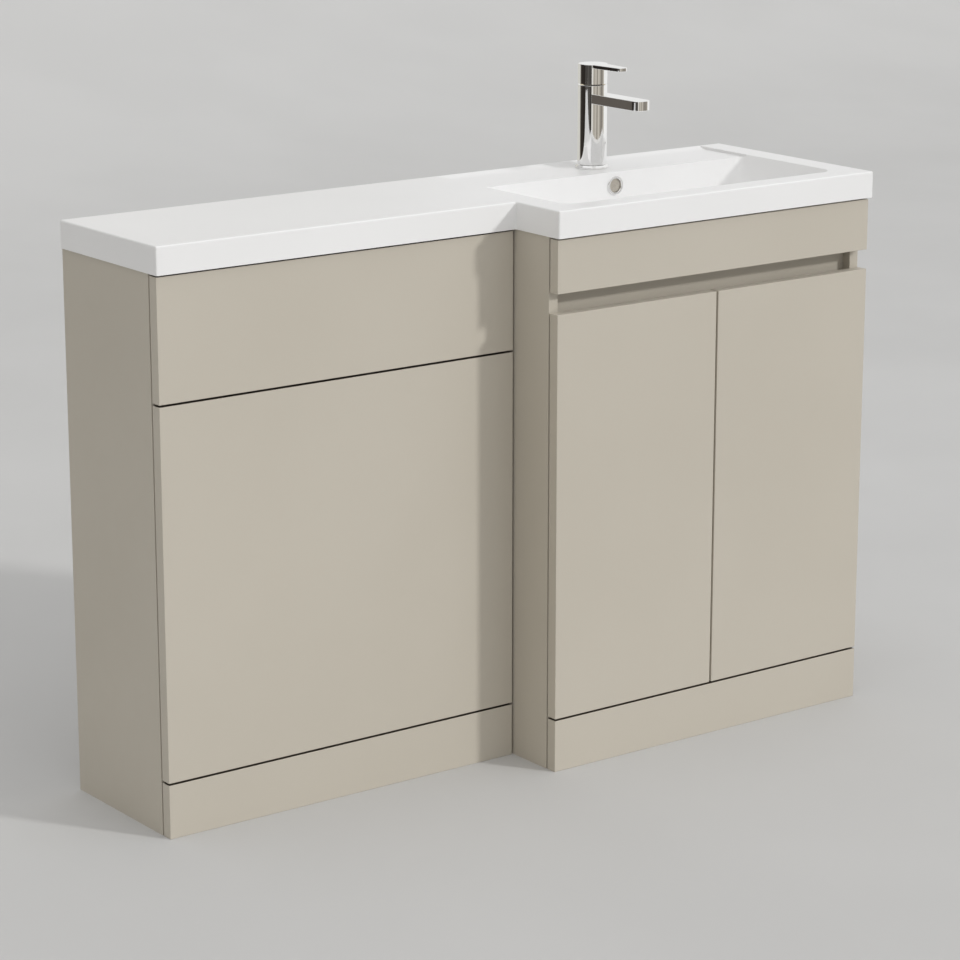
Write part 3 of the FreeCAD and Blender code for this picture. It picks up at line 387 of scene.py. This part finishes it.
def chrome():
    """Chrome plate: bright, with faint polishing haze."""
    material, shader, add, place = new_material("chrome")
    shader.inputs["Metallic"].default_value = 1.0
    feed(shader,
         Base_Color=between(add, grain(add, place, 90.0), (0.945, 0.945, 0.94), (0.97, 0.97, 0.965)),
         Roughness=between(add, grain(add, place, 300.0), 0.025, 0.06))
    return material


def satin_plate():
    """Satin plate: a warm grey metal, brushed across, with an uneven soft shine."""
    material, shader, add, place = new_material("satin_plate")
    shader.inputs["Metallic"].default_value = 1.0
    lines = grain(add, place, 1600.0, stretch=(0.06, 1, 1))
    feed(shader,
         Base_Color=between(add, lines, (0.66, 0.61, 0.53), (0.76, 0.71, 0.63)),
         Roughness=between(add, lines, 0.26, 0.38))
    raise_surface(add, shader, lines, 0.00001)
    return material


plating = chrome()
overflow_profile = eased(
    [(overflow_inside, overflow_thick), (overflow_outside, overflow_thick), (overflow_outside, 0.0),
     (overflow_sleeve, 0.0), (overflow_sleeve, -overflow_sleeve_length),
     (overflow_inside, -overflow_sleeve_length)],
    [overflow_round, overflow_round] + [overflow_edge] * 4)
cover_back = cover_front - cover_thick
cover_profile = np.concatenate([[(pole, cover_back), (cover_radius, cover_back)],
                                crowned(cover_radius, cover_front, cover_crown, cover_round)])
bar_half = bar_side / 2
bar_section = eased([(-bar_half, -bar_half), (bar_half, -bar_half), (bar_half, bar_half),
                     (-bar_half, bar_half)], [bar_edge] * 4, steps=4)
bar_middle = np.array(overflow_centre) + (0.0, bar_half - cover_back, 0.0)
bars = [(carried(bar_section, bar_middle - reach, bar_middle + reach), False)
        for reach in (np.array([bar_reach, 0.0, 0.0]), np.array([0.0, 0.0, bar_reach]))]
ring = (turned(overflow_profile, overflow_centre, (0, -1, 0)), True)
cover = (turned(cover_profile, overflow_centre, (0, -1, 0)), False)
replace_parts(skin("overflow_bezel", [ring, *bars], plating, "cabinet"), "overflow_ring")
skin("overflow_cover", [cover], satin_plate(), "cabinet")
finish_nodes(plastic, "overflow_channel")


# Waste: flanged body with its tail, nut and washers, and a plug that clicks up and down.
# Body and plug are chrome-plated brass, the nut is plastic and the washers are rubber.
# The nut draws the flange down into the rebate of the bowl's floor.

waste_tail = next(mount for mount in frame["record"]["mounts"] if mount["name"] == "waste_tail")
waste_centre = (*waste_tail["pos_m"][:2], 0.0)
plug_low, plug_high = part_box("waste_plug")
plug_head = 0.004
plug_top = plug_high.z
plug_bottom = plug_top - plug_head
plug_radius = 0.0285
plug_dome = 0.0007
plug_round = 0.0015
plug_stem_radius = 0.003
plug_stem_bottom = plug_low.z
plug_edge = 0.0005


def plug_profile():
    """Profile of the plug from the stem's end up its side, out under the head and over its crown."""
    foot = [(plug_stem_radius - plug_edge, plug_stem_bottom),
            (plug_stem_radius, plug_stem_bottom + plug_edge), (plug_stem_radius, plug_bottom),
            (plug_radius - plug_edge, plug_bottom), (plug_radius, plug_bottom + plug_edge)]
    return np.concatenate([foot, crowned(plug_radius, plug_top, plug_dome, plug_round)])


def black_rubber():
    """Moulded rubber: near black with a dusty bloom and a dry skin."""
    material, shader, add, place = new_material("black_rubber")
    feed(shader,
         Base_Color=between(add, grain(add, place, 80.0), (0.022, 0.022, 0.023), (0.045, 0.044, 0.043)),
         Roughness=between(add, grain(add, place, 300.0), 0.65, 0.85))
    raise_surface(add, shader, grain(add, place, 1800.0), 0.00004)
    return material


rubber = black_rubber()
plug = (turned(plug_profile(), waste_centre, (0, 0, 1)), False)
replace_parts(skin("push_plug", [plug], plating, "plug"), "waste_plug")
finish_nodes(plating, "waste_body")
finish_nodes(rubber, "waste_washers")
finish_nodes(plastic, "waste_nut")


# Tap: body with its spout on a flared base ring, and a handle with a flat tapered lever.
# Cast brass under bright chrome; brass nut and stem, plastic cartridge and steel fixings inside.
# It stands in the hole of the deck and a horseshoe washer clamps it from below.

base_low, base_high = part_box("tap_base_ring")
body_low, body_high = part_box("tap_body")
aerator_low, aerator_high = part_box("aerator")
handle_low, handle_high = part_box("tap_handle")
tap_centre = ((base_low.x + base_high.x) / 2, (base_low.y + base_high.y) / 2, 0.0)
tap_radius = handle_high.x - tap_centre[0]
tap_ring_radius = base_high.x - tap_centre[0]
tap_ring_bore = 0.018
tap_ring_bottom = base_low.z
tap_ring_rim = 0.0015
tap_body_bottom = base_high.z
tap_body_top = body_high.z
tap_nut_room = 0.0196
tap_nut_drop = 0.009
tap_nut_seat = tap_body_top - tap_nut_drop
tap_edge = 0.0006
tap_foot_edge = 0.0009
tap_hidden_edge = 0.0001
tap_inner_edge = 0.0002
tap_skirt = 0.00035
tap_skirt_drop = 0.0008
tap_skirt_bottom = tap_ring_bottom - tap_skirt_drop
tap_notch = 0.0009
spout_half_width = 0.015
spout_bottom = 0.9365
spout_thick = 0.015
spout_top = spout_bottom + spout_thick
spout_tip = body_low.y
spout_tip_round = 0.013
spout_root_radius = 0.0205
spout_edge = 0.001
spout_margin = 0.0003
aerator_y = (aerator_low.y + aerator_high.y) / 2
aerator_hole = 0.0101
aerator_hole_top = aerator_high.z
aerator_lip = 0.011
aerator_lip_bottom = aerator_low.z
aerator_cup = 0.008
aerator_cup_top = 0.9385
aerator_play = 0.0001
aerator_edge = 0.0003
handle_bottom = handle_low.z
handle_top = handle_high.z
handle_hollow = 0.0185
handle_roof = 0.008
handle_hollow_top = handle_top - handle_roof
handle_edge = 0.0006
heel_start = 0.014
heel_slope = math.tan(math.radians(22.0))
lever_thick = 0.0055
lever_bottom = handle_top - lever_thick
lever_reach = tap_centre[1] - handle_low.y
lever_root_half = 0.015
lever_tip_half = 0.0085
lever_tip_round = 0.0065
lever_least_cosine = 0.3
handle_stops = (0.0, 0.03, 0.14, 0.66, math.pi)
handle_counts = (4, 24, 20, 60)
wall_share = 0.1
tiny = 1e-6


def spout_plan(inset, steps=16):
    """Plan loops of the spout, one for each inset: two quarter circles at the tip, straight sides, and a
    root on an arc inside the body's wall. A point a margin past each quarter circle keeps the side flat."""
    inset = np.asarray(inset, float)[:, None]
    angle = np.linspace(0.0, math.pi / 2, steps)
    corner_x = spout_half_width - spout_tip_round
    corner_y = spout_tip + spout_tip_round
    curve = spout_tip_round - inset
    side_x = spout_half_width - inset
    side_y = np.full_like(inset, corner_y + spout_margin)
    root_x = side_x * np.linspace(1.0, -1.0, steps)
    root_y = tap_centre[1] - np.sqrt(spout_root_radius ** 2 - root_x ** 2)
    x = np.concatenate([-side_x, -corner_x - curve * np.cos(angle), corner_x + curve * np.sin(angle),
                        side_x, root_x], axis=1)
    y = np.concatenate([side_y, corner_y - curve * np.sin(angle), corner_y - curve * np.cos(angle),
                        side_y, root_y], axis=1)
    return tap_centre[0] + x, y


def spout_rings(steps=7):
    """Loops from the top face over its rounded edge, down the sides and round to the underside, then the
    aerator's hole, whose points lie at the same bearings from its middle as the loop's."""
    angle = np.linspace(0.0, math.pi / 2, steps)
    face = 2 * spout_edge
    inset = np.concatenate([[face], spout_edge * (1 - np.sin(angle)), [0.0, 0.0],
                            spout_edge * (1 - np.cos(angle)), [face]])
    height = np.concatenate([[spout_top], spout_top - spout_edge * (1 - np.cos(angle)),
                             [spout_top - face, spout_bottom + face],
                             spout_bottom + spout_edge * (1 - np.sin(angle)), [spout_bottom]])
    x, y = spout_plan(inset)
    shell = np.stack(np.broadcast_arrays(x, y, height[:, None]), axis=-1)
    bearing = np.arctan2(y[-1] - aerator_y, x[-1] - tap_centre[0])
    hole_x = tap_centre[0] + aerator_hole * np.cos(bearing)
    hole_y = aerator_y + aerator_hole * np.sin(bearing)
    levels = np.array([spout_bottom, aerator_hole_top])[:, None]
    return np.concatenate([shell, np.stack(np.broadcast_arrays(hole_x, hole_y, levels), axis=-1)])


def handle_plan(bearing, inset):
    """Distances of the handle's outline from the tap's axis at bearings from the front, for each inset.

    It is the further of a circle and the lever: the lever's side r sin(b) = half - lean r cos(b), its
    tip r cos(b) = reach, and the circle that rounds its corner, each drawn in by the inset. Where the
    bearing's cosine is under the least one, only the circle counts.
    """
    inset = np.asarray(inset, float)[:, None]
    lean = (lever_root_half - lever_tip_half) / lever_reach
    slant = math.hypot(1.0, lean)
    away = np.abs(bearing)
    sine, cosine = np.sin(away), np.maximum(np.cos(bearing), tiny)
    side = (lever_root_half - inset * slant) / (sine + lean * cosine)
    tip = (lever_reach - inset) / cosine
    curve = lever_tip_round - inset
    corner_y = lever_reach - lever_tip_round
    corner_x = lever_root_half - lean * corner_y - lever_tip_round * slant
    middle = corner_x * sine + corner_y * cosine
    room = np.maximum(middle ** 2 - corner_x ** 2 - corner_y ** 2 + curve ** 2, 0.0)
    first = math.atan2(corner_x, lever_reach)
    last = np.arctan2(corner_x + curve / slant, corner_y + curve * lean / slant)
    lever = np.where((away > first) & (away < last), middle + np.sqrt(room), np.minimum(side, tip))
    circle = tap_radius - inset
    return np.where(np.cos(bearing) > lever_least_cosine, np.maximum(lever, circle), circle)


def handle_rings(steps=6):
    """Rings from the hollow's roof down inside, round the lower edge, up the wall, out under the lever and
    over its rounded edges to the top face. The lower edge is cut away behind, where the handle tips back:
    it rises by the slope times what r times the cosine there is past the heel's start. Points lie closest
    round the corners of the lever's tip."""
    spans = [np.linspace(start, end, count)[:-1]
             for start, end, count in zip(handle_stops, handle_stops[1:], handle_counts)]
    half = np.concatenate([*spans, handle_stops[-1:]])
    bearing = np.concatenate([half, -half[-2:0:-1]])
    angle = np.linspace(0.0, math.pi / 2, steps)
    opening, closing = 1 - np.cos(angle), 1 - np.sin(angle)

    level = np.ones(len(bearing))
    wall = np.outer([handle_hollow, handle_hollow, tap_radius, tap_radius], level)
    under = np.maximum(handle_plan(bearing, handle_edge * closing), tap_radius)
    outline = handle_plan(bearing, [0.0])
    over = handle_plan(bearing, [*handle_edge * opening, 2 * handle_edge])
    radius = np.concatenate([wall, under, outline, over])

    behind = np.maximum(-np.cos(bearing), 0.0)
    cut = handle_bottom + heel_slope * np.maximum(wall[1:3] * behind - heel_start, 0.0)
    spread = np.linspace(wall_share, 1.0, steps)[:, None]
    rise = np.where(under[0] > tap_radius + tiny, opening[:, None], spread)
    middle = (lever_bottom + handle_top) / 2
    tops = [middle, *handle_top - handle_edge * closing, handle_top]
    height = np.concatenate([np.outer([handle_hollow_top], level), cut, np.outer([lever_bottom], level),
                             lever_bottom + handle_edge * rise, np.outer(tops, level)])
    x = tap_centre[0] + radius * np.sin(bearing)
    y = tap_centre[1] - radius * np.cos(bearing)
    return np.stack([x, y, height], axis=-1)


def brass():
    """Turned brass: yellow with tool lines around it."""
    material, shader, add, place = new_material("brass")
    shader.inputs["Metallic"].default_value = 1.0
    lines = grain(add, place, 1800.0, stretch=(0.1, 0.1, 1))
    feed(shader,
         Base_Color=between(add, lines, (0.68, 0.50, 0.21), (0.76, 0.59, 0.29)),
         Roughness=between(add, lines, 0.2, 0.35))
    raise_surface(add, shader, lines, 0.00003)
    return material


body_profile = eased(
    [(tap_ring_bore, tap_body_bottom), (tap_radius, tap_body_bottom), (tap_radius, tap_body_top),
     (tap_nut_room, tap_body_top), (tap_nut_room, tap_nut_seat), (tap_ring_bore, tap_nut_seat)],
    [tap_hidden_edge, tap_foot_edge, tap_edge, tap_inner_edge, tap_hidden_edge, tap_hidden_edge])
column = (turned(body_profile, tap_centre, (0, 0, 1)), True)
spout = (spout_rings(), False)
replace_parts(skin("tap_column", [column, spout], plating, "cabinet"), "tap_body")
base_profile = eased(
    [(tap_ring_bore, tap_ring_bottom), (tap_ring_radius - tap_skirt, tap_ring_bottom),
     (tap_ring_radius - tap_skirt, tap_skirt_bottom), (tap_ring_radius, tap_skirt_bottom),
     (tap_ring_radius, tap_ring_bottom + tap_ring_rim), (tap_radius, tap_body_bottom - tap_edge / 2),
     (tap_radius - tap_notch, tap_body_bottom - tap_notch),
     (tap_ring_bore, tap_body_bottom - tap_notch)],
    [tap_hidden_edge] * 4 + [tap_edge, tap_inner_edge, tap_inner_edge, tap_hidden_edge],
    margin=tap_hidden_edge)
foot = (turned(base_profile, tap_centre, (0, 0, 1)), True)
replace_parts(skin("tap_foot", [foot], plating, "cabinet"), "tap_base_ring")
aerator_profile = [
    (aerator_hole - aerator_play, aerator_hole_top), (aerator_hole - aerator_play, spout_bottom),
    (aerator_lip, spout_bottom), (aerator_lip, aerator_lip_bottom + aerator_edge),
    (aerator_lip - aerator_edge, aerator_lip_bottom), (aerator_cup + aerator_edge, aerator_lip_bottom),
    (aerator_cup, aerator_lip_bottom + aerator_edge), (aerator_cup, aerator_cup_top)]
nozzle = (turned(aerator_profile, (tap_centre[0], aerator_y, 0.0), (0, 0, 1)), False)
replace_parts(skin("spout_nozzle", [nozzle], plating, "cabinet"), "aerator")
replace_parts(skin("lever_handle", [(handle_rings(), False)], plating, "lever"), "tap_handle")
finish_nodes(brass(), "cartridge_nut", "lever_stem")
finish_nodes(plastic, "cartridge", "cartridge_carrier")
finish_nodes(steel, "lever_pivot_pin", "grub_screw", "tap_stud", "tap_clamp_washer", "tap_stud_nut")
finish_nodes(rubber, "tap_seals")


# Floor and backdrop: one sheet of pale paper for the stage.
# It lies under the unit and rises far behind it in a wide curve.

floor_side = 28.0
floor_back = 9.0
floor_front = -18.0
floor_bend = 5.0
backdrop_height = 14.0


def swept_backdrop(columns=40, rows=96):
    """Grid of points: straight along X; across it floor, a quarter circle of floor_bend, then wall."""
    arc = floor_bend * math.pi / 2
    flat = floor_back - floor_bend - floor_front
    run = np.linspace(0.0, flat + arc + backdrop_height - floor_bend, rows)
    turn = np.clip((run - flat) / floor_bend, 0.0, math.pi / 2)
    y = floor_front + np.minimum(run, flat) + floor_bend * np.sin(turn)
    z = floor_bend * (1 - np.cos(turn)) + np.maximum(run - flat - arc, 0.0)
    x = np.linspace(-floor_side, floor_side, columns)
    return np.stack(np.broadcast_arrays(x[:, None], y[None, :], z[None, :]), axis=-1)


def grid_mesh(name, points):
    """A mesh whose quads join the neighbours of a grid of points."""
    columns, rows = points.shape[:2]
    number = np.arange(columns * rows).reshape(columns, rows)
    quads = np.stack([number[:-1, :-1], number[1:, :-1], number[1:, 1:], number[:-1, 1:]], axis=-1)
    mesh = bpy.data.meshes.new(name)
    mesh.from_pydata(points.reshape(-1, 3).tolist(), [], quads.reshape(-1, 4).tolist())
    mesh.polygons.foreach_set("use_smooth", np.ones(len(mesh.polygons), bool))
    made = bpy.data.objects.new(name, mesh)
    bpy.context.scene.collection.objects.link(made)
    return made


def pale_paper():
    """Backdrop paper: pale warm grey, matt, with a soft mottling."""
    material, shader, add, place = new_material("pale_paper")
    shader.inputs["Specular IOR Level"].default_value = 0.2
    feed(shader,
         Base_Color=between(add, grain(add, place, 1.5), (0.60, 0.60, 0.594), (0.62, 0.62, 0.614)),
         Roughness=between(add, grain(add, place, 8.0), 0.8, 0.9))
    return material


backdrop = grid_mesh("backdrop", swept_backdrop())
backdrop.data.materials.append(pale_paper())


# Studio: a distant soft key in front on the right and a plain room, brighter overhead and in front,
# with its brightest part left of the middle and a warmer, darker left wall.
# A ring of upright lit cards stands round the tap and shows in reflections alone.

key_from = (0.49, -0.745, 0.435)
ceiling_lean = 0.4
key = bpy.data.lights.new("key_light", "SUN")
key.energy = 1.18
key.angle = math.radians(5.0)
key.color = (1.0, 0.995, 0.985)
key_light = bpy.data.objects.new("key_light", key)
key_light.rotation_euler = Vector(key_from).to_track_quat("Z", "Y").to_euler()
key_light.visible_glossy = False
bpy.context.scene.collection.objects.link(key_light)


def seen_ray(add):
    """1 for what the camera sees, also in mirrors and through glass, and 0 for light on a surface."""
    path = add("LightPath").outputs
    seen = add("Math", {0: path["Is Camera Ray"], 1: path["Is Glossy Ray"]}, operation="MAXIMUM")
    return add("Math", {0: seen.outputs["Value"], 1: path["Is Transmission Ray"]},
               operation="MAXIMUM").outputs["Value"]


world = bpy.data.worlds.new("studio")
world.use_nodes = True
add = node_maker(world.node_tree)
toward = add("SeparateXYZ", {"Vector": add("TexCoord").outputs["Generated"]}).outputs
lean = add("Math", {0: toward["X"], 1: -ceiling_lean, 2: 1.0}, operation="MULTIPLY_ADD").outputs["Value"]
height = add("Math", {0: toward["Z"], 1: lean}, operation="MULTIPLY", use_clamp=True).outputs["Value"]
overhead = add("Mix", {"Factor": height, "A": (0.25, 0.25, 0.252, 1), "B": (0.89, 0.89, 0.904, 1)},
               data_type="RGBA").outputs["Result"]
ahead = add("Math", {0: toward["Y"], 1: -1.0}, operation="MULTIPLY", use_clamp=True).outputs["Value"]
front = add("Mix", {"Factor": ahead, "A": overhead, "B": (0.33, 0.33, 0.334, 1)}, data_type="RGBA",
            blend_type="ADD").outputs["Result"]
leftward = add("Math", {0: toward["X"], 1: -1.0}, operation="MULTIPLY", use_clamp=True).outputs["Value"]
room = add("Mix", {"Factor": leftward, "A": front, "B": (0.86, 0.835, 0.775, 1)}, data_type="RGBA",
           blend_type="MULTIPLY").outputs["Result"]
shown = add("Mix", {"Factor": seen_ray(add), "A": room, "B": (0.88, 0.88, 0.875, 1)},
            data_type="RGBA").outputs["Result"]
world.node_tree.links.new(shown, world.node_tree.nodes["Background"].inputs["Color"])
bpy.context.scene.world = world

card_distance = 2.6
card_height = 2.2
# The bearings in degrees at which each card starts and ends, and the two tones of its streaks.
cards = {
    "pale_card": (210.0, 149.0, (0.56, 0.55, 0.50), (0.70, 0.69, 0.64)),
    "brown_card": (149.0, 137.0, (0.095, 0.084, 0.073), (0.120, 0.106, 0.093)),
    "dark_card": (137.0, 97.0, (0.018, 0.015, 0.013), (0.034, 0.029, 0.025)),
    "shaded_card": (97.0, 46.0, (0.008, 0.007, 0.006), (0.110, 0.102, 0.093)),
    "bright_strip": (46.0, 35.0, (0.68, 0.66, 0.62), (0.80, 0.78, 0.74)),
    "beige_card": (35.0, -62.0, (0.20, 0.18, 0.155), (0.60, 0.56, 0.49)),
    "white_card": (-62.0, -150.0, (0.82, 0.82, 0.81), (0.90, 0.90, 0.89)),
}


def standing_card(start, end, columns=48):
    """An upright piece of a cylinder round the tap: bearings in degrees from the front to the left."""
    bearing = np.radians(np.linspace(start, end, columns))[:, None]
    x = tap_centre[0] - card_distance * np.sin(bearing)
    y = tap_centre[1] - card_distance * np.cos(bearing)
    return np.stack(np.broadcast_arrays(x, y, np.array([[0.0, card_height]])), axis=-1)


def lit_card(name, low, high):
    """Lit card: upright streaks of light between two tones."""
    material, shader, add, place = new_material(name)
    shader.inputs["Base Color"].default_value = (0, 0, 0, 1)
    shader.inputs["Specular IOR Level"].default_value = 0.0
    shader.inputs["Emission Strength"].default_value = 1.0
    streaks = grain(add, place, 2.2, stretch=(1, 1, 0.02), detail=3.0)
    feed(shader, Emission_Color=between(add, streaks, low, high))
    return material


for name, (start, end, low, high) in cards.items():
    card = grid_mesh(name, standing_card(start, end))
    card.data.materials.append(lit_card(name, low, high))
    card.visible_camera = False
    card.visible_diffuse = False
    card.visible_shadow = False


# Camera: a long lens in front on the left, higher than the tap.
# It looks down on the unit, with no shift.

camera_down = math.radians(14.572)
camera_turn = math.radians(-36.532)
camera_data = bpy.data.cameras.new("camera")
camera_data.sensor_width = 36.0
camera_data.lens = 118.46
camera = bpy.data.objects.new("camera", camera_data)
camera.location = (-2.7169, -3.6556, 1.5945)
camera.rotation_euler = (math.pi / 2 - camera_down, 0.0, camera_turn)
bpy.context.scene.collection.objects.link(camera)
bpy.context.scene.camera = camera
bpy.context.scene.view_settings.view_transform = "Standard"
